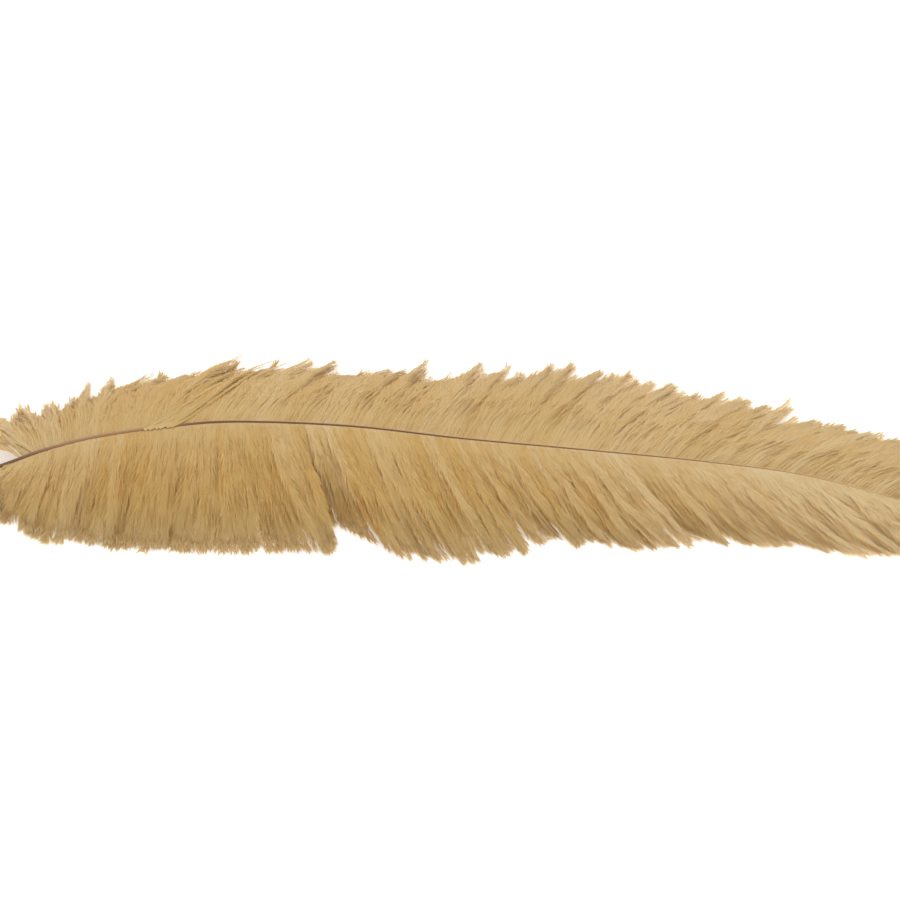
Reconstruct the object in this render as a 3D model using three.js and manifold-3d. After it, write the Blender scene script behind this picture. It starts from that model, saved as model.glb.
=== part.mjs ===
// An ostrich plume, about 62 cm long, lying on a flat surface.
//
// Units are millimetres, +Z is up and the surface is z = 0. The quill points to -X and the tip to +X, and the
// origin is on the surface, under the middle of the plume. The shaft arches up from the quill and comes down
// again towards the tip. Soft barbs leave it on both sides, sweep towards the tip and droop until they lie on
// the surface. They hang together in locks: each lock is one tapering tuft, rounded above and pointed at its
// end, and all the locks are fused to the shaft, because a feather grows as one piece.

import * as THREE from "three";
import { mergeVertices } from "three/addons/utils/BufferGeometryUtils.js";
import Module from "manifold-3d";

// The shaft's centreline, from the cut end of the quill to the tip: x, y, height.
const SHAFT_COURSE = [
  [-310, -37, 2.6],
  [-279, -25, 5.5],
  [-248, -14, 11],
  [-220, -6.5, 18],
  [-192, -2.5, 24],
  [-150, 0.5, 29.5],
  [-115, 2, 31],
  [-55, 2.2, 27],
  [8, -0.6, 19.5],
  [72, -2.4, 12.5],
  [138, -7.5, 8.5],
  [193, -15.5, 6.5],
  [242, -31, 5],
  [272, -45, 4],
];
const QUILL_RADIUS = 1.9; // at the cut end
const SHAFT_RADIUS = 1.4; // where the barbs begin
const SHAFT_END_RADIUS = 0.6;
const SHAFT_SIDES = 6;
const SHAFT_RINGS = 30;

// The plume's two edges on the surface, as x, y: the near one (-Y) and the far one (+Y).
const NEAR_EDGE = [
  [-270, -36],
  [-248, -43],
  [-222, -55],
  [-190, -61],
  [-150, -64.5],
  [-60, -65],
  [0, -70],
  [30, -67],
  [60, -61],
  [110, -59],
  [190, -59],
  [230, -62],
  [270, -68],
  [311, -69],
];
const FAR_EDGE = [
  [-275, 14],
  [-248, 29],
  [-220, 42],
  [-190, 52],
  [-150, 62],
  [-95, 67],
  [-10, 67],
  [70, 66],
  [112, 57],
  [150, 47],
  [193, 33],
  [245, 19],
  [275, 2],
  [300, -30],
  [311, -62],
];

// How far a barb's end lies ahead of its root, as root's x, then on the near side and on the far side.
const SWEEPS = [
  [-255, -13, -8],
  [-220, -7, 6],
  [-180, -4, 18],
  [-115, 0, 27],
  [-60, 14, 25],
  [8, 28, 30],
  [72, 42, 38],
  [138, 50, 48],
  [193, 54, 50],
  [272, 40, 38],
];

// Locks that stand out of the edge or fall short of it: the lock on that side that ends nearest to x ends here.
const RAGGED_ENDS = [
  { side: -1, x: -56, y: -45 },
  { side: -1, x: -5, y: -73 },
  { side: -1, x: 54, y: -54 },
  { side: 1, x: -188, y: 60 },
  { side: 1, x: -115, y: 79 },
  { side: 1, x: -78, y: 73 },
  { side: 1, x: -11, y: 73 },
  { side: 1, x: 28, y: 73 },
  { side: 1, x: 187, y: 44 },
];

const LOCKS_PER_SIDE = 33;
const FIRST_LOCK_AT = 62; // along the shaft from the quill's end
const LAST_LOCK_BEFORE = 3; // and from the tip's end
const LOCK_BREADTH = 0.58; // half of its greatest width, as a share of the room between it and the next
const LEAST_HALF_WIDTH = 8.6;
const ROOT_DROP = 0.7; // how far under the shaft's centreline a lock is rooted
const LOCK_HALF_HEIGHT = 3.9;
const LOCK_SIDES = 6;
const LOCK_RINGS = 6;
const NEAR_BLUNTNESS = 16; // the higher, the later a lock narrows to its point
const FAR_BLUNTNESS = 4;
const ROOT_OVERLAP = 0.06; // the share of a lock's length that lies across the shaft, beyond its root
const LOCK_LOFT = 3; // how far a lock rises above the straight line before it droops
const LOCK_END_HEIGHT = 0.5; // of a lock's centreline where it lies on the surface
const TOUCHDOWN = 0.88; // the share of a lock's length where it comes down on the surface
const END_SPREAD = 3; // how far the ends of the locks stray

const FEATHER_COLOUR = 0xc6a369;

const shaftCurve = new THREE.CatmullRomCurve3(
  SHAFT_COURSE.map((p) => new THREE.Vector3(...p)),
  false,
  "catmullrom",
  0.5,
);
const SHAFT_LENGTH = shaftCurve.getLength();

// A repeatable number from 0 to 1 for lock number i, with a stream of its own for each use.
function scatter(i, stream) {
  const v = Math.sin(i * 12.9898 + stream * 78.233) * 43758.5453;
  return v - Math.floor(v);
}

// The value of a column of a table at x, straight between its rows and level beyond them.
function lookUp(table, x, column = 1) {
  const found = table.findIndex((row) => row[0] >= x);
  const next = found < 0 ? table.length - 1 : Math.max(1, found);
  const [a, b] = [table[next - 1], table[next]];
  const share = THREE.MathUtils.clamp((x - a[0]) / (b[0] - a[0]), 0, 1);
  return THREE.MathUtils.lerp(a[column], b[column], share);
}

// Half the greatest width of a lock: the more it slants forward, the closer the next one lies beside it.
function halfWidthOf(root, end, forward, step) {
  const out = end.clone().sub(root).setZ(0).normalize();
  return Math.max(LEAST_HALF_WIDTH, LOCK_BREADTH * step * out.cross(forward).length());
}

// The locks on one side: root, end, how high each one lofts, and half its width.
function locks(side) {
  const step = (SHAFT_LENGTH - LAST_LOCK_BEFORE - FIRST_LOCK_AT) / (LOCKS_PER_SIDE - 1);
  const stream = side < 0 ? 1 : 11;
  const list = Array.from({ length: LOCKS_PER_SIDE }, (_, i) => {
    const u = (FIRST_LOCK_AT + i * step) / SHAFT_LENGTH;
    const root = shaftCurve.getPointAt(u).add(new THREE.Vector3(0, 0, -ROOT_DROP));
    const x = root.x + lookUp(SWEEPS, root.x, side < 0 ? 1 : 2) + END_SPREAD * (2 * scatter(i, stream) - 1);
    const y = lookUp(side < 0 ? NEAR_EDGE : FAR_EDGE, x) + END_SPREAD * (2 * scatter(i, stream + 1) - 1);
    const end = new THREE.Vector3(x, y, LOCK_END_HEIGHT);
    const loft = LOCK_LOFT * (0.5 + scatter(i, stream + 2));
    return { root, end, loft, halfWidth: halfWidthOf(root, end, shaftCurve.getTangentAt(u), step) };
  });
  for (const { x, y } of RAGGED_ENDS.filter((ragged) => ragged.side === side)) {
    const nearest = list.reduce((a, b) => (Math.abs(b.end.x - x) < Math.abs(a.end.x - x) ? b : a));
    nearest.end.set(x, y, LOCK_END_HEIGHT);
  }
  return list;
}

// The line that a lock follows: out from the shaft, bending towards the tip as it goes, rising a little and
// then drooping on to the surface.
function lockPath({ root, end, loft }) {
  const elbow = new THREE.Vector3(
    THREE.MathUtils.lerp(root.x, end.x, 0.28),
    THREE.MathUtils.lerp(root.y, end.y, 0.6),
    0,
  );
  const plan = new THREE.QuadraticBezierCurve3(root, elbow, end);
  const pointAt = (share) => {
    const t = share * (1 + ROOT_OVERLAP) - ROOT_OVERLAP;
    const way = THREE.MathUtils.clamp(t / TOUCHDOWN, 0, 1);
    const rise = loft * Math.sin(Math.PI * way ** 0.8);
    return plan.getPoint(t).setZ(THREE.MathUtils.lerp(root.z, end.z, way ** 1.9) + rise);
  };
  return (t) => ({
    centre: pointAt(t),
    along: pointAt(t + 0.02).sub(pointAt(t - 0.02)).normalize(),
  });
}

// Half width and half height of a lock: broad but thin at the shaft, pointed at the end.
function lockProfile({ halfWidth }, bluntness) {
  return (t) => {
    const broad = THREE.MathUtils.smoothstep(t, -0.3, 0.2);
    const thick = THREE.MathUtils.smoothstep(t, -0.1, 0.35);
    const closing = 1 - t ** bluntness;
    return [halfWidth * broad * closing, LOCK_HALF_HEIGHT * thick * closing];
  };
}

function shaftProfile(t) {
  const quillShare = FIRST_LOCK_AT / SHAFT_LENGTH;
  const radius =
    t < quillShare
      ? THREE.MathUtils.lerp(QUILL_RADIUS, SHAFT_RADIUS, t / quillShare)
      : THREE.MathUtils.lerp(SHAFT_RADIUS, SHAFT_END_RADIUS, (t - quillShare) / (1 - quillShare));
  return [radius, radius];
}

// Bends a unit sphere into a closed tuft along a path: its poles become the path's ends, and its equator's
// circle becomes an oval of the half width and half height that the profile gives at that place.
function tuft(pathAt, profileAt, sides, rings) {
  const geometry = new THREE.SphereGeometry(1, sides, rings);
  const position = geometry.getAttribute("position");
  const p = new THREE.Vector3();
  for (let i = 0; i < position.count; i++) {
    p.fromBufferAttribute(position, i);
    const t = THREE.MathUtils.clamp((1 - p.y) / 2, 0, 1);
    const round = Math.hypot(p.x, p.z);
    const { centre, along } = pathAt(t);
    const across = new THREE.Vector3(0, 0, 1).cross(along).normalize();
    const up = along.clone().cross(across).normalize();
    if (round > 1e-6) {
      const [halfWidth, halfHeight] = profileAt(t);
      centre.addScaledVector(across, (p.x / round) * halfWidth).addScaledVector(up, (p.z / round) * halfHeight);
    }
    position.setXYZ(i, centre.x, centre.y, centre.z);
  }
  return geometry;
}

const wasm = await Module();
wasm.setup();

function solidOf(geometry) {
  geometry.deleteAttribute("normal");
  geometry.deleteAttribute("uv");
  const merged = mergeVertices(geometry, 1e-4);
  return new wasm.Manifold(
    new wasm.Mesh({
      numProp: 3,
      vertProperties: merged.getAttribute("position").array,
      triVerts: new Uint32Array(merged.index.array),
    }),
  );
}

function geometryOf(solid) {
  const mesh = solid.getMesh();
  const geometry = new THREE.BufferGeometry();
  geometry.setAttribute("position", new THREE.BufferAttribute(new Float32Array(mesh.vertProperties), 3));
  geometry.setIndex(new THREE.BufferAttribute(new Uint32Array(mesh.triVerts), 1));
  geometry.computeVertexNormals();
  return geometry;
}

function shaft() {
  const pathAt = (t) => ({ centre: shaftCurve.getPointAt(t), along: shaftCurve.getTangentAt(t) });
  return solidOf(tuft(pathAt, shaftProfile, SHAFT_SIDES, SHAFT_RINGS));
}

// What would lie under the surface that the feather rests on.
function underTheSurface() {
  const depth = 40;
  return solidOf(new THREE.BoxGeometry(800, 400, depth).translate(0, 0, -depth / 2));
}

function feather() {
  let solid = shaft();
  for (const [side, bluntness] of [[-1, NEAR_BLUNTNESS], [1, FAR_BLUNTNESS]]) {
    for (const lock of locks(side)) {
      solid = solid.add(solidOf(tuft(lockPath(lock), lockProfile(lock, bluntness), LOCK_SIDES, LOCK_RINGS)));
    }
  }
  const material = new THREE.MeshStandardMaterial({ color: FEATHER_COLOUR, roughness: 0.85, metalness: 0 });
  const mesh = new THREE.Mesh(geometryOf(solid.subtract(underTheSurface())), material);
  mesh.name = "feather";
  return mesh;
}

const plume = new THREE.Group();
plume.add(feather());

export default plume;
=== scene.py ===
"""An ostrich plume that lies on a pale floor: its quill and shaft, and two vanes of barbs with barbules.

All sizes are in millimetres until a mesh is made, where they become metres. The quill points to -X, the tip
to +X, the near vane to -Y, the far vane to +Y, and the plume lies on z = 0.
"""

import math
from types import SimpleNamespace

import bpy
import numpy as np
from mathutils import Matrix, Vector

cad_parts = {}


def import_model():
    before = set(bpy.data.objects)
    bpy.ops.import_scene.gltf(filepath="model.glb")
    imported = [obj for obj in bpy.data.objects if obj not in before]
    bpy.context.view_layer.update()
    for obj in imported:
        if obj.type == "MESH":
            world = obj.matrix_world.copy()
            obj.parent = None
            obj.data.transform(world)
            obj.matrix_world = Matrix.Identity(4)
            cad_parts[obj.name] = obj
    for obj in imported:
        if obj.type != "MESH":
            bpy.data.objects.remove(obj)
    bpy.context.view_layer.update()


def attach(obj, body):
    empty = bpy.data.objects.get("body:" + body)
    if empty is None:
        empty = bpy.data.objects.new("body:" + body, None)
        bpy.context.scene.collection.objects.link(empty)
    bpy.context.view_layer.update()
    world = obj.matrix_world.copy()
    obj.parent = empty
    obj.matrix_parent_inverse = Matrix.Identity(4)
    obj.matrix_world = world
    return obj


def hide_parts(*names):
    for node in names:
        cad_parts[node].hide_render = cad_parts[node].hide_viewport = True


MM = 0.001
TURN = 2 * np.pi
UV_MAP = "OFBake"

# The shaft's centreline, from the cut end of the quill to the tip: x, y, height.
SHAFT_COURSE = np.array(
    [
        [-310, -37, 2.6],
        [-279, -25, 5.5],
        [-248, -14, 11],
        [-220, -6.5, 18],
        [-192, -2.5, 24],
        [-150, 0.5, 29.5],
        [-115, 2, 31],
        [-55, 2.2, 27],
        [8, -0.6, 19.5],
        [72, -2.4, 12.5],
        [138, -7.5, 8.5],
        [193, -15.5, 6.5],
        [242, -31, 5],
        [272, -45, 4],
    ]
)
QUILL_RADIUS = 1.9
SHAFT_RADIUS = 1.35  # where the barbs begin

# The plume's two edges on the floor, as x, y.
NEAR_EDGE = np.array(
    [
        [-270, -36],
        [-248, -43],
        [-234, -50],
        [-220, -57],
        [-206, -54],
        [-192, -60],
        [-165, -64],
        [-151, -62],
        [-137, -63.5],
        [-124, -65],
        [-96, -63],
        [-82, -65.5],
        [-69, -67],
        [-41, -67],
        [-27, -67],
        [0, -70],
        [14, -70],
        [27, -66],
        [41, -65],
        [55, -53],
        [69, -59],
        [82, -58],
        [96, -60],
        [110, -62],
        [124, -61],
        [138, -54],
        [151, -60],
        [165, -59.5],
        [179, -61],
        [192, -60],
        [206, -64],
        [220, -66],
        [234, -65],
        [248, -67],
        [311, -69],
    ]
)
FAR_EDGE = np.array(
    [
        [-275, 11.5],
        [-248, 26.5],
        [-234, 34.5],
        [-220, 37.5],
        [-206, 38.5],
        [-192, 47.5],
        [-179, 50.5],
        [-165, 55.5],
        [-151, 57.5],
        [-137, 58],
        [-124, 64.5],
        [-110, 56.5],
        [-96, 64.5],
        [-82, 61],
        [-69, 61],
        [-41, 61.5],
        [-27, 61.5],
        [0, 57],
        [14, 62],
        [27, 61],
        [41, 58.5],
        [55, 61.5],
        [69, 62.5],
        [82, 59],
        [96, 58.5],
        [110, 53],
        [124, 49.5],
        [137, 45.5],
        [151, 43.5],
        [165, 38.5],
        [179, 35],
        [193, 24.5],
        [206, 27],
        [220, 23],
        [234, 17.5],
        [247, 13],
        [275, -0.5],
        [300, -32.5],
        [311, -64.5],
    ]
)

# How far a barb's end lies ahead of its root, as root's x, then on the near side and on the far side.
SWEEPS = np.array(
    [
        [-243, -22, -28],
        [-235, -19, -22],
        [-228, -17, -15],
        [-220, -15, -8],
        [-208, -13, 0],
        [-195, -12, 10],
        [-180, -11, 20],
        [-165, -10, 28],
        [-140, -7, 34],
        [-130, -3, 36],
        [-118, 9, 37],
        [-106, 21, 37],
        [-90, 32, 35],
        [-60, 35, 31],
        [8, 35, 32],
        [72, 42, 38],
        [138, 50, 48],
        [193, 54, 50],
        [272, 40, 38],
    ]
)

# The notch in the near edge: the share of a barb that is left, by the x of its plain end.
NOTCH = np.array([[-52.1, 1], [-52, 0.61], [-45, 0.66], [-38, 0.77], [-34, 0.86], [-31, 1]])
NOTCH_GATHER = 0.2  # how much of its gather a barb that is cut short keeps

# Before the notch, barbs whose plain ends lie between these x's hook back and end between these two places.
HOOK_REACH = (-70, -52)
HOOK_ENDS = np.array([[-67, -68], [-63.5, -57]])
HOOK_STRAY = 0.6

# Where barbs gather into a spike at the edge, as side, x, y and how near a barb has to be to join in.
SPIKES = np.array(
    [
        [1, -201, 60, 2],
        [1, -187, 61, 3],
        [1, -160, 65, 2],
        [1, -141, 63, 2],
        [1, -118, 71, 3],
        [1, -96, 72, 3],
        [1, -77, 75, 3],
        [1, -63, 72, 3],
        [1, -33, 67, 2],
        [1, -12.5, 76, 3],
        [1, 18, 71, 3],
        [1, 33, 69, 2],
        [1, 57, 71, 3],
        [1, 68, 71, 3],
        [1, 100, 64, 3],
        [1, 113, 55.5, 3],
        [1, 125, 53, 3],
        [1, 152, 49, 3],
        [1, 165, 43, 2],
        [1, 190, 46, 3],
        [-1, 8, -75, 4],
        [-1, 41, -68, 3],
        [-1, 69, -62, 3],
        [-1, 124, -62, 3],
        [-1, 206, -66, 3],
        [-1, 234, -67, 3],
    ]
)

# Wisps that leave the order of the vane and lie over it, as side, distance of the root along the shaft,
# elbow's x and y, end's x and y, number of barbs, and how far they are lifted.
STRAY_WISPS = np.array(
    [
        [1, 122, -158, 12, -126, 66, 5, 1.6],
        [1, 128, -150, 12, -119, 71, 5, 1.9],
        [1, 131, -148, 14, -114, 78, 1, 2.0],
        [1, 135, -146, 13, -121, 69, 5, 1.4],
        [1, 142, -141, 13, -114, 64, 5, 1.6],
        [1, 149, -135, 14, -106, 62, 5, 1.3],
        [1, 156, -128, 15, -98, 69, 4, 1.6],
        [1, 158, -130, 15, -103, 65, 4, 1.3],
        [1, 161, -128, 14, -96, 70, 3, 1.3],
        [1, 113, -172, 17, -136, 63, 4, 1.6],
        [1, 108, -182, 18, -147, 61, 3, 1.5],
        [1, 100, -192, 20, -158, 62, 3, 1.5],
        [1, 92, -202, 18, -168, 62, 3, 1.5],
        [1, 84, -246, 4, -264, 15, 4, 0.5],
        [1, 87, -244, 12, -257, 27, 3, 0.8],
        [-1, 64, -264, -28, -272, -38, 4, 0.5],
        [-1, 70, -257, -34, -262, -48, 3, 0.5],
    ]
)
CROSSING_FROM = 157  # along the shaft: the stray wisps rooted from here on cross over the shaft
CROSSING_START = np.array([0, -1.4, 1.3])  # where such a barb starts, seen from its place on the flank
CROSSING_ROOT_SPREAD = 11  # how far the roots of such a wisp lie apart along the shaft
STRAY_ROOT_SPREAD = 5  # and those of any other stray wisp
STRAY_ELBOW_SPREAD = np.array([5, 4])  # how far their elbows lie apart, in x and y
STRAY_END_SPREAD = 5.0  # and their ends
STRAY_END_SHIFT = -2.0  # in y, where a wisp has more than one barb
LAGGING_FROM = 110  # the stray wisps rooted from here on run beside the shaft for longer
PALE_BEFORE = 90  # and those rooted up to here are pale

FIRST_BARB_AT = 72.0  # along the shaft from the quill's end
LAST_BARB_BEFORE = 1.0  # and from the tip's end
BARBS_PER_SIDE = 400
ROOTING_STEPS = 400
WISP_BARBS = (3, 7)  # the least and the most in a wisp
LOCK_BARBS = (9, 17)  # and in a lock
ROOT_OFFSET = 0.3  # how far out and how far down a barb is rooted, as a share of the shaft's radius
ROOT_STRAY = 0.3  # how far a root strays, as a share of the room between two
LOOSE_REACH = (-235, -190)  # barbs rooted before the first x are loose, and none beyond the second
EVEN_SHARE = 0.4  # how much of their straying even ends keep
UNRULY_SHARE = 0.16  # how many of the pairs of barbs are unruly
HAIR_FLUFF = 0.45  # how long a slim hair's barbules are, as a share of the others'
WISP_STRAY = 1.2  # how far a wisp's ends lie from their place along the edge
LOOSE_STRAY = 5  # how much further where barbs are loose
BARB_STRAY = 0.9  # and how far a barb's end lies from its wisp's
LOOSE_RAGGED = 0.08  # how much more the length of loose wisps varies, as a share
BARB_RAGGED = 0.04  # and that of the barbs in a wisp
SPIKE_SLACK = 0.5  # how much of a spike's pull some barbs escape
LOOSE_LIFT = 0.25  # how much higher or lower loose wisps lie
LOCK_TONE = 0.1  # how much the tone varies from lock to lock
BARB_TONE = 0.05  # and from barb to barb

# The power of the share of a barb's length with which its gather comes in: the higher, the later.
LATENESS = 3
LOOSE_LATENESS = 2
HOOK_LATENESS = 5

LOFT = 3.0  # how far a barb rises above the line on which it droops
DROOP_POWER = 1.9
RISE_POWER = 0.8
WAVE_RATE = 6.5
LEAST_HEIGHT = 0.35  # of a barb's centreline above the floor
TWISTS = 2.2  # how many times a barb twists, more or less

CORE_RINGS = 12
CORE_END = 0.985  # as a share of the barb's length
CORE_HALF_WIDTH = 0.68
CORE_HALF_HEIGHT = 0.5
BARBULES_PER_BARB = 258
LAST_BARBULE_AT = 0.975  # as a share of the barb's length
BARBULE_LENGTH = 4.6  # beside the shaft
BARBULE_GAIN = 4.2  # how much longer they are further out
BARBULE_LOSS = 4.8  # and how much shorter again at the barb's end
BARBULE_WIDTH = 0.28
BARBULE_ELBOW = 0.4  # where a barbule bends, as a share of its length
BARBULE_LEAN = 15  # the angle between a barbule and its barb beside the shaft, in degrees
BARBULE_LEAST_HEIGHT = 0.06  # of a barbule's corners above the floor
BARBULE_HEIGHT_SPREAD = 0.5  # and how much more that is for some
TONE_RANGE = (0.02, 0.98)
UV_STEP = 0.012  # how far a triangle's corners lie apart in the UV map, so that none is flat there
PARTS_PER_VANE = 3

# What sets the two vanes apart. A list of pairs is a table of x and the value there.
NEAR = SimpleNamespace(
    name="near_vane",
    side=-1,
    seed=100,  # of its scattered numbers
    stray_seed=300,  # and of those of its stray wisps
    edge=NEAR_EDGE,
    sweep=SWEEPS[:, [0, 1]],
    first_barb_at=FIRST_BARB_AT,
    end_height=0.5,  # of the barbs' ends above the floor
    elbow=np.array([0.28, 0.6, 0]),  # as shares of the way from root to plain end, in x, y and height
    to_wisp=[[-85, 0.12], [-72, 0.38]],  # how far an end is drawn to the middle of its wisp
    to_lock=[[-85, 0.03], [-72, 0.12]],  # and from there to the middle of its lock
    even_before=-75,  # up to this x the ends lie even
    ragged=0.02,  # how much the length of wisps varies, as a share
    puff=0.65,  # how high locks and wisps swell
    lift=0.3,  # how much higher or lower than its wisp a barb lies
    wave=1.3,  # how far a wisp waves to and fro
    unruly_stray=8,  # how far the ends of unruly pairs lie from their place
    unruly_lift=1.0,  # how much higher these pairs lie
    unruly_tone=0.2,  # and how much lighter they are
    hair_share=0.03,  # how many of the barbs are slim hairs
    hair_reach=0.05,  # and how much further these reach, as a share
    roll=0.42,  # how far the barbules tilt out of the level
    splay=[[-85, 1.0], [-72, 0.4]],  # how far the barbules at the end stand apart, by the end's x
    tone=[[-250, 0.9], [-215, 0.42], [-150, 0.34], [0, 0.3], [120, 0.65], [220, 1.1]],  # by the root's x
    wisp_tone=0.16,  # how much the tone varies from wisp to wisp
    # Painted shade: the near vane's barbs grow darker outwards, towards the floor.
    fade=[[-243, 0], [-229, -0.55], [-150, -0.62], [50, -0.4], [200, -0.1]],  # how the tone changes outwards
)
FAR = SimpleNamespace(
    name="far_vane",
    side=1,
    seed=200,
    stray_seed=400,
    edge=FAR_EDGE,
    sweep=SWEEPS[:, [0, 2]],
    first_barb_at=FIRST_BARB_AT + 10,
    end_height=2.2,
    elbow=np.array([0.42, 0.52, 0]),
    to_wisp=[[-250, 0.3], [-205, 0.6], [100, 0.6], [200, 0.45], [260, 0.2]],
    to_lock=[[0, 0.2]],
    even_before=-math.inf,
    ragged=0.05,
    puff=0.3,
    lift=0.2,
    wave=0.35,
    unruly_stray=6,
    unruly_lift=0.3,
    unruly_tone=0.05,
    hair_share=0.07,
    hair_reach=0.09,
    roll=0.31,
    splay=[[0, 0.5]],
    tone=[[-250, 0.8], [-200, 0.5], [-185, 0.3], [-140, 0.28], [-115, 0.42], [60, 0.38], [220, 0.6]],
    wisp_tone=0.1,
    fade=[[0, 0.22]],
)


# Lines in space


def scatter(i, stream):
    """Repeatable numbers from 0 to 1: the fraction of a large multiple of the sine of i and the stream."""
    v = np.sin(np.asarray(i, float) * 12.9898 + stream * 78.233) * 43758.5453
    return v - np.floor(v)


def spread(i, stream):
    """Repeatable numbers from -1 to 1."""
    return 2 * scatter(i, stream) - 1


def smooth(x, low, high):
    """0 below low, 1 above high, and 3s^2 - 2s^3 of the share s in between."""
    s = np.clip((x - low) / (high - low), 0, 1)
    return s * s * (3 - 2 * s)


def by_x(table, x):
    """The value that a table gives at x, straight between its rows and level beyond them."""
    return np.interp(x, *np.transpose(table))


def unit(v):
    """Vectors divided by their lengths."""
    return v / np.maximum(np.linalg.norm(v, axis=-1, keepdims=True), 1e-12)


def catmull_rom(points, per_span=80):
    """Points close together on the Catmull-Rom curve through the points: a cubic from each point to the
    next, whose slope at a point is half the step between that point's neighbours. The point next to an end
    is reflected in it to give the end a neighbour."""
    p = np.vstack([2 * points[0] - points[1], points, 2 * points[-1] - points[-2]])
    t = np.linspace(0, 1, per_span, endpoint=False)[None, :, None]
    a, b, c, d = (p[k : len(p) - 3 + k, None, :] for k in range(4))
    spans = 0.5 * (
        2 * b + (c - a) * t + (2 * a - 5 * b + 4 * c - d) * t**2 + (3 * b - a - 3 * c + d) * t**3
    )
    return np.vstack([spans.reshape(-1, 3), points[-1]])


SHAFT_LINE = catmull_rom(SHAFT_COURSE)
SHAFT_WAY = np.concatenate([[0], np.cumsum(np.linalg.norm(np.diff(SHAFT_LINE, axis=0), axis=1))])
SHAFT_LENGTH = SHAFT_WAY[-1]

# The shaft's radius, as distance from the quill's end and radius.
SHAFT_RADII = [
    [0, 0.55 * QUILL_RADIUS],
    [1.2, 0.9 * QUILL_RADIUS],
    [6, QUILL_RADIUS],
    [FIRST_BARB_AT, SHAFT_RADIUS],
    [75, 1.25],
    [110, 0.95],
    [210, 0.62],
    [321, 0.52],
    [432, 0.4],
    [SHAFT_LENGTH, 0.2],
]


def shaft_point(distance):
    """The shaft's centreline at distances along it from the quill's end."""
    return np.stack([np.interp(distance, SHAFT_WAY, SHAFT_LINE[:, k]) for k in range(3)], axis=-1)


def shaft_heading(distance):
    """The shaft's direction at distances along it."""
    step = 2.0
    return unit(shaft_point(distance + step) - shaft_point(distance - step))


def shaft_radius(distance):
    """The shaft's radius at distances along it."""
    return by_x(SHAFT_RADII, distance)


# Barbs


def groups(count, least, most, stream):
    """Parts a row of count barbs into neighbouring groups of least to most barbs, with scattered sizes.
    Gives each barb's group, its place in the group from -0.5 to 0.5, and the row's number at the group's
    middle."""
    row = np.arange(count)
    sizes = least + np.floor((most - least + 1) * scatter(row, stream)).astype(int)
    starts = np.concatenate([[0], np.cumsum(sizes)])
    group = np.searchsorted(starts, row, side="right") - 1
    middle = starts[group] + sizes[group] / 2 - 0.5
    return group, (row - middle) / sizes[group], middle


def flank(at, side):
    """Points on the shaft's side, a little under its middle, at distances along it."""
    outward = unit(np.cross([0, 0, 1.0], shaft_heading(at))) * side
    radius = shaft_radius(at)[:, None]
    return shaft_point(at) + radius * (ROOT_OFFSET * outward - [0, 0, ROOT_OFFSET])


def plain_end(root, vane):
    """Where a barb from this root ends if nothing disturbs it: swept ahead of the root, on the edge."""
    x = root[..., 0] + by_x(vane.sweep, root[..., 0])
    y = by_x(vane.edge, x)
    return np.stack([x, y, np.full_like(x, vane.end_height)], axis=-1)


def rooting(vane):
    """Places along the shaft, and the number of the barb that is rooted at each. Along the shaft the number
    rises in proportion to 1 plus how fast the plain end moves in x, so the roots lie closer together where
    the ends fan out."""
    at = np.linspace(vane.first_barb_at, SHAFT_LENGTH - LAST_BARB_BEFORE, ROOTING_STEPS)
    crowding = 1 + np.abs(np.gradient(plain_end(shaft_point(at), vane)[:, 0], at))
    number = np.concatenate([[0], np.cumsum((crowding[1:] + crowding[:-1]) / 2)])
    return at, number * (BARBS_PER_SIDE - 1) / number[-1]


def hook_ends(x, k, seed):
    """Where barb k with its plain end at x ends if it hooks back: on the line between the two places."""
    place = np.interp(x, HOOK_REACH, [0, 1])[:, None]
    stray = HOOK_STRAY * np.stack([spread(k, seed + 26), spread(k, seed + 27)], -1)
    return HOOK_ENDS[0] + place * (HOOK_ENDS[1] - HOOK_ENDS[0]) + stray


def notched(root, elbow, plain, gather):
    """Cuts barbs short at the notch. What is left of a barb is a curve of the same kind: its end is the
    point at that share of the old curve, and its elbow lies at that share of the way from the root to the
    old elbow."""
    left = by_x(NOTCH, plain[:, :1])
    cut = (1 - left) ** 2 * root + 2 * left * (1 - left) * elbow + left**2 * plain
    gather = np.where(left < 1, NOTCH_GATHER * gather, gather)
    return root + left * (elbow - root), np.column_stack([cut[:, :2], plain[:, 2]]), gather


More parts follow.
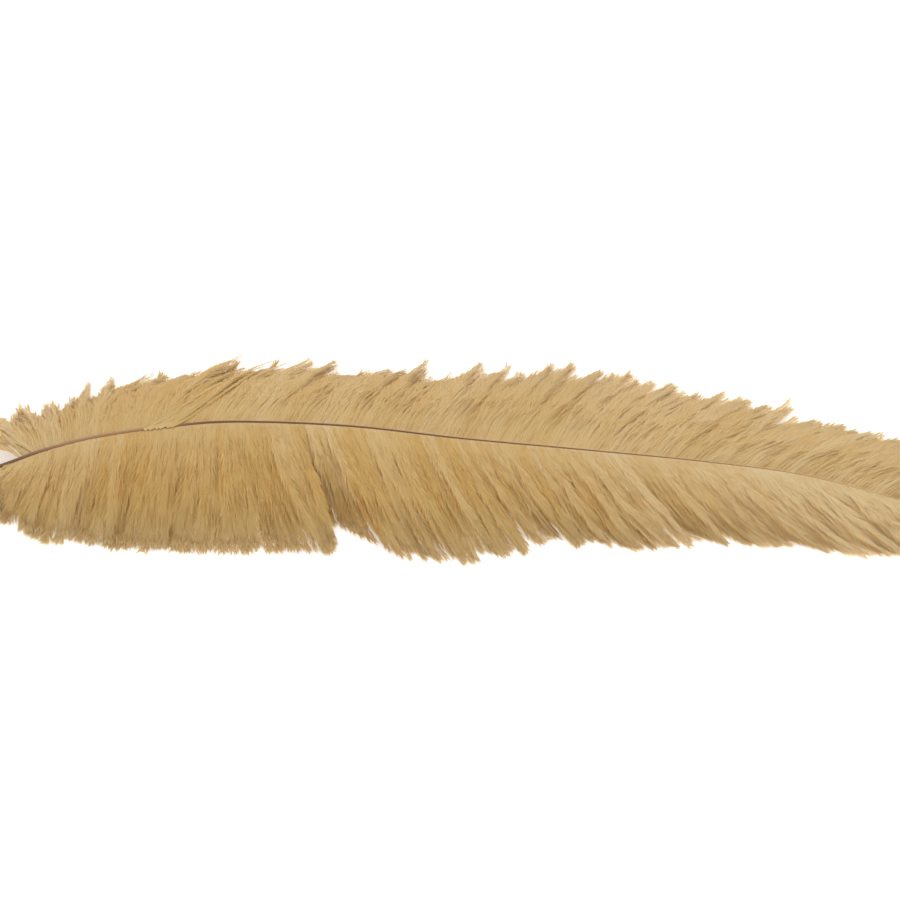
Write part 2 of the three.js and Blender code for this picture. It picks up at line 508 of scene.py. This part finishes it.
def barbs(vane):
    """Every barb of one vane. Its root is on the shaft's flank, and its elbow and plain end are where the
    vane's sweep and edge put them. Its gather is how far its end is drawn from there: towards the middle of
    its wisp, a little towards the middle of its lock, and towards a spike of the edge that is close by.
    Beside the quill the barbs are loose. Some unruly pairs lie a little higher, across their neighbours,
    and some barbs are slim hairs that reach a little further. Locks and wisps are highest in their middle.
    At the near vane's notch the barbs are cut short, and before it they hook back."""
    seed = vane.seed
    k = np.arange(BARBS_PER_SIDE)
    wisp, in_wisp, wisp_middle = groups(BARBS_PER_SIDE, *WISP_BARBS, seed + 1)
    lock, in_lock, lock_middle = groups(BARBS_PER_SIDE, *LOCK_BARBS, seed + 2)
    at, number = rooting(vane)
    root = flank(np.interp(k + ROOT_STRAY * spread(k, seed + 3), number, at), vane.side)
    plain = plain_end(root, vane)
    wisp_end = plain_end(shaft_point(np.interp(wisp_middle, number, at)), vane)
    lock_end = plain_end(shaft_point(np.interp(lock_middle, number, at)), vane)

    loose = 1 - smooth(root[:, 0], *LOOSE_REACH)
    even = np.where(plain[:, 0] < vane.even_before, EVEN_SHARE, 1.0)
    unruly = scatter(k // 2, seed + 21) > 1 - UNRULY_SHARE
    hair = scatter(k, seed + 23) > 1 - vane.hair_share

    to_wisp = by_x(vane.to_wisp, plain[:, :1])
    to_lock = by_x(vane.to_lock, plain[:, :1])
    end = plain + to_wisp * (wisp_end - plain) + to_lock * (lock_end - wisp_end)
    wisp_stray = WISP_STRAY * even + LOOSE_STRAY * loose
    end[:, 0] += wisp_stray * spread(wisp, seed + 4) + BARB_STRAY * spread(k, seed + 5)
    end[:, 0] += np.where(unruly, vane.unruly_stray * even**0.5, 0) * spread(k // 2, seed + 22)
    reach = (
        1
        + np.where(hair, vane.hair_reach * even, 0)
        + (vane.ragged + LOOSE_RAGGED * loose) * spread(wisp, seed + 6)
        + BARB_RAGGED * even * spread(k, seed + 7)
    )
    end[:, :2] = root[:, :2] + (end - root)[:, :2] * reach[:, None]
    for _, x, y, span in SPIKES[SPIKES[:, 0] == vane.side]:
        pull = np.exp(-(((plain[:, 0] - x) / span) ** 2)) * (1 - SPIKE_SLACK * scatter(k, seed + 8) ** 2)
        end[:, :2] += pull[:, None] * (np.array([x, y]) - end[:, :2])

    elbow = root + (plain - root) * vane.elbow
    late = np.where(loose > 0.5, LOOSE_LATENESS, LATENESS)
    gather = end - plain
    if vane is NEAR:
        hooked = (plain[:, 0] > HOOK_REACH[0]) & (plain[:, 0] < HOOK_REACH[1])
        gather[hooked, :2] = (hook_ends(plain[:, 0], k, seed) - plain[:, :2])[hooked]
        late[hooked] = HOOK_LATENESS
        elbow, plain, gather = notched(root, elbow, plain, gather)

    swell = np.cos(np.pi * in_lock) + 0.8 * np.cos(np.pi * in_wisp) - 0.9 + spread(wisp, seed + 10)
    bulge = (
        vane.puff * swell
        + LOOSE_LIFT * loose * spread(wisp, seed + 25)
        + vane.lift * spread(k, seed + 11)
        + np.where(unruly, vane.unruly_lift, 0)
    )
    tone = (
        by_x(vane.tone, root[:, 0])
        + LOCK_TONE * spread(lock, seed + 18)
        + vane.wisp_tone * spread(wisp, seed + 19)
        + BARB_TONE * spread(k, seed + 20)
        + np.where(unruly, vane.unruly_tone, 0)
    )
    return {
        "root": root,
        "elbow": elbow,
        "plain": plain,
        "gather": gather,
        "late": late,
        "loft": LOFT * (1 + 0.12 * spread(lock, seed + 9)),
        "bulge": bulge,
        "wave": vane.wave * spread(wisp, seed + 12) + 0.4 * spread(k, seed + 13),
        "phase": TURN * scatter(wisp, seed + 14) + 0.5 * spread(k, seed + 15),
        "lag": np.ones(len(k)),
        "touchdown": 0.9 + 0.1 * scatter(wisp, seed + 24),
        "turn": TURN * scatter(k, seed + 16),
        "twist": TURN * (TWISTS + spread(k, seed + 17)),
        "fluff": np.where(hair, HAIR_FLUFF, 1.0),
        "roll": np.full(len(k), vane.roll),
        "splay": by_x(vane.splay, plain[:, 0]),
        "tone": tone,
        "fade": by_x(vane.fade, root[:, 0]),
    }


def stray_barbs(vane):
    """The barbs of one vane's stray wisps, each scattered a little about its wisp's root, elbow and end.
    Those that cross the shaft start just above it, on its other side. A barb that is a wisp by itself keeps
    the end that it is given."""
    rows = STRAY_WISPS[STRAY_WISPS[:, 0] == vane.side]
    wisp = np.repeat(np.arange(len(rows)), rows[:, 6].astype(int))
    k = np.arange(len(wisp))
    seed = vane.stray_seed
    _, at, elbow_x, elbow_y, end_x, end_y, number, lifted = rows[wisp].T
    crossing = at > CROSSING_FROM
    root_spread = np.where(crossing, CROSSING_ROOT_SPREAD, STRAY_ROOT_SPREAD)
    root = flank(at + root_spread * spread(k, seed + 1), vane.side)
    root[crossing] += CROSSING_START
    level = np.full(len(k), vane.end_height)
    elbow_x = elbow_x + STRAY_ELBOW_SPREAD[0] * spread(k, seed + 2)
    elbow_y = elbow_y + STRAY_ELBOW_SPREAD[1] * spread(k, seed + 3)
    gather_x = STRAY_END_SPREAD * spread(k, seed + 4)
    gather_y = STRAY_END_SPREAD * spread(k, seed + 5) + STRAY_END_SHIFT
    gather = np.stack([gather_x, gather_y, 0 * level], axis=-1)
    gather[number == 1] = 0
    base_tone = np.where(at < PALE_BEFORE, 0.75, 0.33)
    return {
        "root": root,
        "elbow": np.stack([elbow_x, elbow_y, level], axis=-1),
        "plain": np.stack([end_x, end_y, level], axis=-1),
        "gather": gather,
        "late": np.full(len(k), LATENESS),
        "loft": np.full(len(k), LOFT),
        "bulge": 0.6 * lifted + 0.3 * spread(k, seed + 6),
        "wave": 0.8 * spread(k, seed + 7),
        "phase": TURN * scatter(k, seed + 8),
        "lag": np.where(at > LAGGING_FROM, 1.8, 1.2),
        "touchdown": 0.92 + 0.08 * scatter(k, seed + 14),
        "turn": TURN * scatter(k, seed + 9),
        "twist": TURN * (TWISTS + spread(k, seed + 10)),
        "fluff": np.where(crossing, 0.5, 0.8) + 0.25 * spread(k, seed + 13),
        "roll": np.full(len(k), 0.35),
        "splay": np.full(len(k), 0.35),
        "tone": base_tone + 0.14 * spread(wisp, seed + 11) + 0.14 * spread(k, seed + 12),
        "fade": np.full(len(k), 0.1),
    }


def vane_barbs(vane):
    """All the barbs of one vane, the stray ones first, because they are rooted in its first part."""
    stray, orderly = stray_barbs(vane), barbs(vane)
    return {name: np.concatenate([stray[name], orderly[name]]) for name in orderly}


def course(barb, t):
    """Points on barbs at shares t of their length. In plan a quadratic Bezier curve from root by elbow to
    plain end, with a slight wave, and the gather added with a power of t that lets it come in late. The
    height falls with a power of the way to where the barb comes down, and a loft and a bulge are added to
    it. A barb that lags first runs beside the shaft and falls later."""
    root, elbow, end, gather = (barb[name][:, None, :] for name in ("root", "elbow", "plain", "gather"))
    s = t[..., None]
    late = barb["late"][:, None, None]
    p = (1 - s) ** 2 * root + 2 * s * (1 - s) * elbow + s**2 * end + s**late * gather
    way = np.clip(np.maximum(t, 0) ** barb["lag"][:, None] / barb["touchdown"][:, None], 0, 1)
    bulge = barb["bulge"][:, None] * smooth(t, 0.02, 0.4) * (1 - 0.7 * smooth(t, 0.7, 1.0))
    rise = barb["loft"][:, None] * np.sin(np.pi * way**RISE_POWER) + bulge
    p[..., 2] = root[..., 2] + (end[..., 2] - root[..., 2]) * way**DROOP_POWER + rise
    wave = barb["wave"][:, None] * np.sin(WAVE_RATE * t + barb["phase"][:, None])
    p[..., 0] += wave * smooth(t, 0.1, 0.8)
    p[..., 2] = np.maximum(p[..., 2], LEAST_HEIGHT)
    return p


def heading_and_sides(barb, t):
    """Each barb's direction at shares t, a level direction across it, and the direction square to both."""
    along = unit(course(barb, t + 0.01) - course(barb, t - 0.01))
    across = unit(np.cross([0, 0, 1.0], along))
    return along, across, np.cross(along, across)


def tones(barb, t):
    """How light barbs are at shares t of their length: each barb's tone with its outward change added. On
    the near vane that change is painted shade, darker towards the floor.
    """
    return barb["tone"][:, None] + barb["fade"][:, None] * t


def cores(barb):
    """The close inner part of each barb, where its stalk and the feet of its barbules lie too close to tell
    apart: a four-sided oval tube along its course, broad and level at the root, that then turns slowly and
    thins to the end. Gives vertices, triangles and UV, with u the tone and v the share of the length."""
    count = len(barb["root"])
    t = np.broadcast_to(np.linspace(0, CORE_END, CORE_RINGS), (count, CORE_RINGS))
    centre = course(barb, t)
    _, across, up = heading_and_sides(barb, t)
    swell = (1.35 - 0.3 * smooth(t, 0.0, 0.12)) * (1 - 0.75 * smooth(t, 0.45, 1.0))
    turn = (barb["turn"][:, None] + barb["twist"][:, None] * t) * smooth(t, 0.05, 0.5)
    angle = np.radians([0, 90, 180, 270])[None, None, :, None]
    c, s = np.cos(turn)[..., None, None], np.sin(turn)[..., None, None]
    roundness = (0.25 + 0.75 * smooth(t, 0.0, 0.12))[..., None, None]
    u, v = CORE_HALF_WIDTH * np.cos(angle), CORE_HALF_HEIGHT * roundness * np.sin(angle)
    across, up, swell = across[:, :, None, :], up[:, :, None, :], swell[..., None, None]
    ring = centre[:, :, None, :] + swell * ((c * u - s * v) * across + (s * u + c * v) * up)
    last = 4 * (CORE_RINGS - 1)
    caps = [[0, 2, 1], [0, 3, 2], [last, last + 1, last + 2], [last, last + 2, last + 3]]
    one = np.vstack([tube_sides(CORE_RINGS, 4), caps])
    faces = one[None] + (np.arange(count) * 4 * CORE_RINGS)[:, None, None]
    tone = np.clip(tones(barb, t)[..., None] + UV_STEP * np.array([-1, 0, 1, 0]), *TONE_RANGE)
    uv = np.stack(np.broadcast_arrays(tone, t[..., None] + UV_STEP * np.array([0, 0.5, 0, 1])), axis=-1)
    return ring.reshape(-1, 3), faces.reshape(-1, 3), uv.reshape(-1, 2)


def barbules(barb, seed):
    """The fine branches along each barb, in two rows that roll to and fro round it as it twists. Each is a
    bent sliver that lies forward, with four corners: its foot, two at its bend set a little apart, and its
    end. Gives vertices, triangles and UV, with u the tone and v the share of the barb's length."""
    n = np.arange(BARBULES_PER_BARB)
    index = np.arange(len(barb["root"]))[:, None] * BARBULES_PER_BARB + n
    t = LAST_BARBULE_AT * ((n + 0.5 + 0.5 * spread(index, seed)) / BARBULES_PER_BARB) ** 1.1
    foot = course(barb, t)
    along, across, up = heading_and_sides(barb, t)
    row = np.where(n % 2 == 0, 1.0, -1.0)
    roll = barb["roll"][:, None]
    turn = roll * np.sin(barb["turn"][:, None] + barb["twist"][:, None] * t)
    turn = turn + 0.6 * roll * spread(index, seed + 1)
    out = (np.cos(turn)[..., None] * across + np.sin(turn)[..., None] * up) * row[None, :, None]

    frayed = smooth(t, 0.75, 1.0)
    splay = barb["splay"][:, None] * frayed
    loss = (BARBULE_LOSS - 1.5 * splay) * smooth(t, 0.6, 1.0)
    length = BARBULE_LENGTH + BARBULE_GAIN * smooth(t, 0.0, 0.3) - loss
    length = length * (1 + 0.25 * spread(index, seed + 2)) * barb["fluff"][:, None]
    lean = BARBULE_LEAN + 5 * smooth(t, 0.05, 0.4) - 12 * frayed + 16 * splay
    lean = np.radians(lean + (5 + 13 * splay) * spread(index, seed + 3))[..., None]
    first = unit(np.cos(lean + 0.16) * along + np.sin(lean + 0.16) * out)
    last = unit(np.cos(lean - 0.14) * along + np.sin(lean - 0.14) * out - np.array([0, 0, 0.08]))
    bend = foot + BARBULE_ELBOW * length[..., None] * first
    tip = bend + (1 - BARBULE_ELBOW) * length[..., None] * last
    spin = 0.3 * spread(index, seed + 4)[..., None]
    flat = unit(np.cross(first, np.cos(spin) * up + np.sin(spin) * across))
    width = BARBULE_WIDTH + 0.05 * spread(index, seed + 5) - 0.14 * frayed * (1 - 1.4 * splay)
    aside = 0.5 * width[..., None] * flat

    corners = np.stack([foot, bend - aside, bend + aside, tip], axis=2)
    least = BARBULE_LEAST_HEIGHT + BARBULE_HEIGHT_SPREAD * scatter(index, seed + 6)
    corners[..., 2] += np.maximum(least - corners[..., 2].min(axis=2), 0)[..., None]
    corners = corners.reshape(-1, 4, 3)
    # A sliver that would be inside out has the two corners at its bend swapped.
    turned = np.linalg.det(corners[:, 1:] - corners[:, :1]) < 0
    corners[turned] = corners[turned][:, [0, 2, 1, 3]]
    one = np.array([[0, 2, 1], [0, 1, 3], [0, 3, 2], [1, 2, 3]])
    faces = (one[None] + (4 * np.arange(len(corners)))[:, None, None]).reshape(-1, 3)
    tone = np.clip(tones(barb, t) + 0.03 * spread(index, seed + 7), *TONE_RANGE)
    u = tone[..., None] + UV_STEP * np.array([0, -1, 1, 0])
    v = t[..., None] + np.array([0, 0.008, 0.008, 0.02])
    uv = np.stack([u, np.clip(v, 0.0, 1.0)], axis=-1).reshape(-1, 2)
    return corners.reshape(-1, 3), faces, uv


# Meshes


def tube_sides(rings, around):
    """The triangles between the rings of a tube, whose corners are numbered round each ring in turn."""
    r, n = np.meshgrid(np.arange(rings - 1), np.arange(around), indexing="ij")
    a, b = r * around + n, r * around + (n + 1) % around
    sides = [np.stack([a, b, a + around], -1), np.stack([b, b + around, a + around], -1)]
    return np.concatenate(sides).reshape(-1, 3)


def joined(first, second):
    """Two lots of vertices, triangles and UV as one."""
    return (
        np.vstack([first[0], second[0]]),
        np.vstack([first[1], second[1] + len(first[0])]),
        np.vstack([first[2], second[2]]),
    )


def make_piece(name, made, material, smooth_shaded=False):
    """A mesh object from vertices in millimetres, triangles, and one UV pair for each vertex."""
    vertices, faces, uv = made
    mesh = bpy.data.meshes.new(name)
    mesh.vertices.add(len(vertices))
    mesh.vertices.foreach_set("co", (vertices * MM).astype(np.float32).ravel())
    mesh.loops.add(faces.size)
    mesh.loops.foreach_set("vertex_index", faces.astype(np.int32).ravel())
    mesh.polygons.add(len(faces))
    mesh.polygons.foreach_set("loop_start", np.arange(0, faces.size, 3, dtype=np.int32))
    mesh.polygons.foreach_set("use_smooth", np.full(len(faces), smooth_shaded))
    layer = mesh.uv_layers.new(name=UV_MAP)
    layer.data.foreach_set("uv", uv[faces.ravel()].astype(np.float32).ravel())
    mesh.update(calc_edges=True)
    mesh.materials.append(material)
    piece = bpy.data.objects.new(name, mesh)
    bpy.context.scene.collection.objects.link(piece)
    return piece


def shaft_surface(rings=260, around=14):
    """The quill and shaft: a circle carried along the centreline, with the radius of each place, closed at
    both ends. Gives vertices, triangles and UV, with u round it and v along it."""
    at = np.concatenate([[0, 0.4, 1.2, 3], np.linspace(6, SHAFT_LENGTH, rings - 4)])
    centre, heading = shaft_point(at), shaft_heading(at)
    across = unit(np.cross([0, 0, 1.0], heading))
    up = np.cross(heading, across)
    angle = np.linspace(0, TURN, around, endpoint=False)[None, :, None]
    radius = shaft_radius(at)[:, None, None]
    ring = centre[:, None] + radius * (np.cos(angle) * across[:, None] + np.sin(angle) * up[:, None])
    vertices = np.vstack([ring.reshape(-1, 3), centre[0], centre[-1] + 0.3 * heading[-1]])
    start, tail = rings * around, (rings - 1) * around
    k = np.arange(around)
    first = np.stack([np.full(around, start), (k + 1) % around, k], -1)
    last = np.stack([np.full(around, start + 1), tail + k, tail + (k + 1) % around], -1)
    uv = np.stack(np.broadcast_arrays((k / around)[None, :], (at / SHAFT_LENGTH)[:, None]), axis=-1)
    uv = np.vstack([uv.reshape(-1, 2), [[0.5, 0], [0.5, 1]]])
    return vertices, np.vstack([tube_sides(rings, around), first, last]), uv


# Finishes


class Amount:
    """A number that changes over a surface: an expression on it adds the Math nodes that work it out."""

    def __init__(self, finish, socket):
        self.finish, self.socket = finish, socket

    def _with(self, operation, other):
        return self.finish.amount("ShaderNodeMath", {"operation": operation}, {0: self, 1: other})

    def __add__(self, other):
        return self._with("ADD", other)

    def __mul__(self, other):
        return self._with("MULTIPLY", other)

    __radd__, __rmul__ = __add__, __mul__


class Finish:
    """A material and the way its nodes are added."""

    def __init__(self, name):
        self.material = bpy.data.materials.new(name)
        self.material.use_nodes = True
        self.tree = self.material.node_tree
        self.tree.nodes.clear()

    def node(self, kind, settings=None, inputs=None, output=0):
        """Adds a node, makes its settings, sets or links its inputs, and gives one of its outputs."""
        node = self.tree.nodes.new(kind)
        for name, value in (settings or {}).items():
            if name == "stops":
                set_stops(node.color_ramp, value)
            else:
                setattr(node, name, value)
        for key, value in (inputs or {}).items():
            if isinstance(value, Amount):
                value = value.socket
            if isinstance(value, bpy.types.NodeSocket):
                self.tree.links.new(value, node.inputs[key])
            else:
                node.inputs[key].default_value = value
        return node.outputs[output]

    def amount(self, *arguments, **options):
        """Adds a node and gives its output as an amount."""
        return Amount(self, self.node(*arguments, **options))

    def uv(self):
        """The two numbers of the piece's own UV map."""
        place = self.node("ShaderNodeUVMap", {"uv_map": UV_MAP})
        return [self.amount("ShaderNodeSeparateXYZ", None, {0: place}, output=k) for k in range(2)]

    def ramp(self, amount, stops):
        """The colour that the stops, each a place and a screen colour, give at an amount."""
        stops = [(place, screen_colour(*colour)) for place, colour in stops]
        return self.node("ShaderNodeValToRGB", {"stops": stops}, {0: amount})

    def mixed(self, share, a, b):
        """Colour a, with colour b blended over it by share."""
        return self.node("ShaderNodeMix", {"data_type": "RGBA"}, {0: share, 6: a, 7: b}, output=2)

    def shown(self, shader):
        """Puts the shader on the surface, and gives the material."""
        end = self.tree.nodes.new("ShaderNodeOutputMaterial")
        self.tree.links.new(shader, end.inputs["Surface"])
        return self.material


def set_stops(ramp, stops):
    """Puts the stops, each a place and a colour, into a colour ramp."""
    while len(ramp.elements) < len(stops):
        ramp.elements.new(0.5)
    for element, (place, colour) in zip(ramp.elements, stops):
        element.position, element.color = place, colour


def screen_colour(red, green, blue):
    """A colour given in the 0 to 255 numbers of a screen, as the linear colour that a shader takes."""
    c = np.array([red, green, blue]) / 255
    linear = np.where(c <= 0.04045, c / 12.92, ((c + 0.055) / 1.055) ** 2.4)
    return (*linear.tolist(), 1.0)


def dyed_down_and_painted_shading():
    """Soft dyed barbs: golden tan, paler beside the shaft, and paler at the ends, partly as painted light
    against the shade among the tips. Each strand is lighter or deeper by its own tone: light strands are
    cream, and deep ones are brown and turn grey at their ends, which is painted shade near the floor. Light
    passes through them."""
    f = Finish("dyed_down_and_painted_shading")
    tone, along = f.uv()
    dye = [
        (0.0, (246, 230, 176)),
        (0.05, (246, 226, 155)),
        (0.2, (246, 226, 155)),
        (0.75, (246, 226, 157)),
        # The pale last stop is partly painted light, against the shade among the barbs' ends.
        (1.0, (247, 232, 182)),
    ]
    golden = f.ramp(along, dye)
    # Deep strands turn grey at their ends: painted shade near the floor.
    deep = f.mixed(0.6, golden, f.ramp(along, [(0.5, (220, 184, 112)), (1.0, (200, 182, 142))]))
    light = f.mixed(0.7, golden, screen_colour(248, 239, 208))
    colour = f.mixed(tone, deep, light)
    looks = {"Base Color": colour, "Roughness": 0.75, "Specular IOR Level": 0.25, "Sheen Weight": 0.15}
    skin = f.node("ShaderNodeBsdfPrincipled", None, looks)
    through = f.node("ShaderNodeBsdfTranslucent", None, {"Color": screen_colour(243, 220, 148)})
    return f.shown(f.node("ShaderNodeMixShader", None, {0: 0.5, 1: skin, 2: through}))


def horn():
    """The horn-like shaft: dark brown on top and orange-brown below, paling towards the tip and on the bare
    quill, with fine streaks along it."""
    f = Finish("horn")
    round_it, along = f.uv()
    stops = [
        (0.0, (214, 190, 150)),
        (0.07, (176, 142, 104)),
        (0.11, (112, 76, 50)),
        (0.135, (126, 88, 58)),
        (0.18, (176, 132, 92)),
        (0.25, (176, 130, 88)),
        (0.31, (112, 76, 46)),
        (0.5, (112, 76, 46)),
        (0.75, (146, 104, 64)),
        (1.0, (210, 178, 128)),
    ]
    colour = f.ramp(along, stops)
    grain = f.amount("ShaderNodeTexNoise", None, {"Scale": 260.0, "Detail": 3.0})
    below = f.amount("ShaderNodeMath", {"operation": "SINE"}, {0: round_it * TURN}) * -1.0
    under = f.amount("ShaderNodeMapRange", None, {0: below, 1: -0.2, 2: 0.7, 3: 0.0, 4: 0.75})
    colour = f.mixed(under, colour, screen_colour(176, 122, 62))
    colour = f.mixed(grain * 0.35, colour, screen_colour(60, 40, 24))
    bump = f.node("ShaderNodeBump", None, {"Strength": 0.25, "Distance": 0.0001, "Height": grain})
    looks = {"Base Color": colour, "Roughness": 0.3 + grain * 0.25, "Normal": bump}
    return f.shown(f.node("ShaderNodeBsdfPrincipled", None, looks))


def pale_floor():
    """A plain near-white floor that is lit evenly."""
    f = Finish("pale_floor")
    matte = f.node("ShaderNodeBsdfDiffuse", None, {"Color": (0.93, 0.93, 0.93, 1)})
    glow = f.node("ShaderNodeEmission", None, {"Color": (1, 1, 1, 1), "Strength": 0.35})
    return f.shown(f.node("ShaderNodeAddShader", None, {0: matte, 1: glow}))


# The scene


def build_plume():
    """The shaft, and each vane in a few parts, so that none has too many triangles."""
    pieces = [make_piece("shaft", shaft_surface(), horn(), smooth_shaded=True)]
    down = dyed_down_and_painted_shading()
    for vane in (NEAR, FAR):
        every = vane_barbs(vane)
        cuts = np.linspace(0, len(every["root"]), PARTS_PER_VANE + 1).astype(int)
        for part, (low, high) in enumerate(zip(cuts, cuts[1:]), 1):
            barb = {name: values[low:high] for name, values in every.items()}
            made = joined(cores(barb), barbules(barb, vane.seed + 50))
            pieces.append(make_piece(f"{vane.name}_{part}", made, down))
    for piece in pieces:
        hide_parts("feather")
        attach(piece, "root")


def build_floor():
    """A square floor, 8 m wide."""
    reach = 4.0
    corners = [(-reach, -reach, 0), (reach, -reach, 0), (reach, reach, 0), (-reach, reach, 0)]
    mesh = bpy.data.meshes.new("floor")
    mesh.from_pydata(corners, [], [(0, 1, 2, 3)])
    mesh.materials.append(pale_floor())
    floor = bpy.data.objects.new("floor", mesh)
    bpy.context.scene.collection.objects.link(floor)


def area_light(name, place, aim, size, power):
    """A square soft light at place that faces aim."""
    light = bpy.data.lights.new(name, "AREA")
    light.size, light.energy = size, power
    lamp = bpy.data.objects.new(name, light)
    lamp.location = place
    lamp.rotation_euler = (Vector(aim) - Vector(place)).to_track_quat("-Z", "Y").to_euler()
    bpy.context.scene.collection.objects.link(lamp)


def light_scene():
    """White light from all round, and a soft lamp above and a little behind the plume."""
    world = bpy.data.worlds.new("studio")
    world.use_nodes = True
    background = world.node_tree.nodes["Background"]
    background.inputs["Color"].default_value = (1, 1, 1, 1)
    background.inputs["Strength"].default_value = 0.82
    bpy.context.scene.world = world
    area_light("overhead", place=(0.1, 0.4, 1.75), aim=(0, 0, 0), size=2.2, power=15)


def build_camera():
    """A long lens 50 degrees above the floor that takes in 495 mm across the plume."""
    lens, sensor, across, lift = 300.0, 36.0, 0.495, math.radians(50)
    target = Vector((0, -0.0006, 0.010))
    distance = across * lens / sensor
    camera = bpy.data.cameras.new("camera")
    camera.lens, camera.sensor_width, camera.clip_end = lens, sensor, 20
    view = bpy.data.objects.new("camera", camera)
    view.location = target + distance * Vector((0, -math.cos(lift), math.sin(lift)))
    view.rotation_euler = (math.pi / 2 - lift, 0, 0)
    bpy.context.scene.collection.objects.link(view)
    bpy.context.scene.camera = view


def main():
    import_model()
    build_camera()
    build_plume()
    build_floor()
    light_scene()
    scene = bpy.context.scene
    scene.view_settings.view_transform = "Standard"
    scene.cycles.diffuse_bounces = 8
    scene.cycles.use_denoising = True


main()
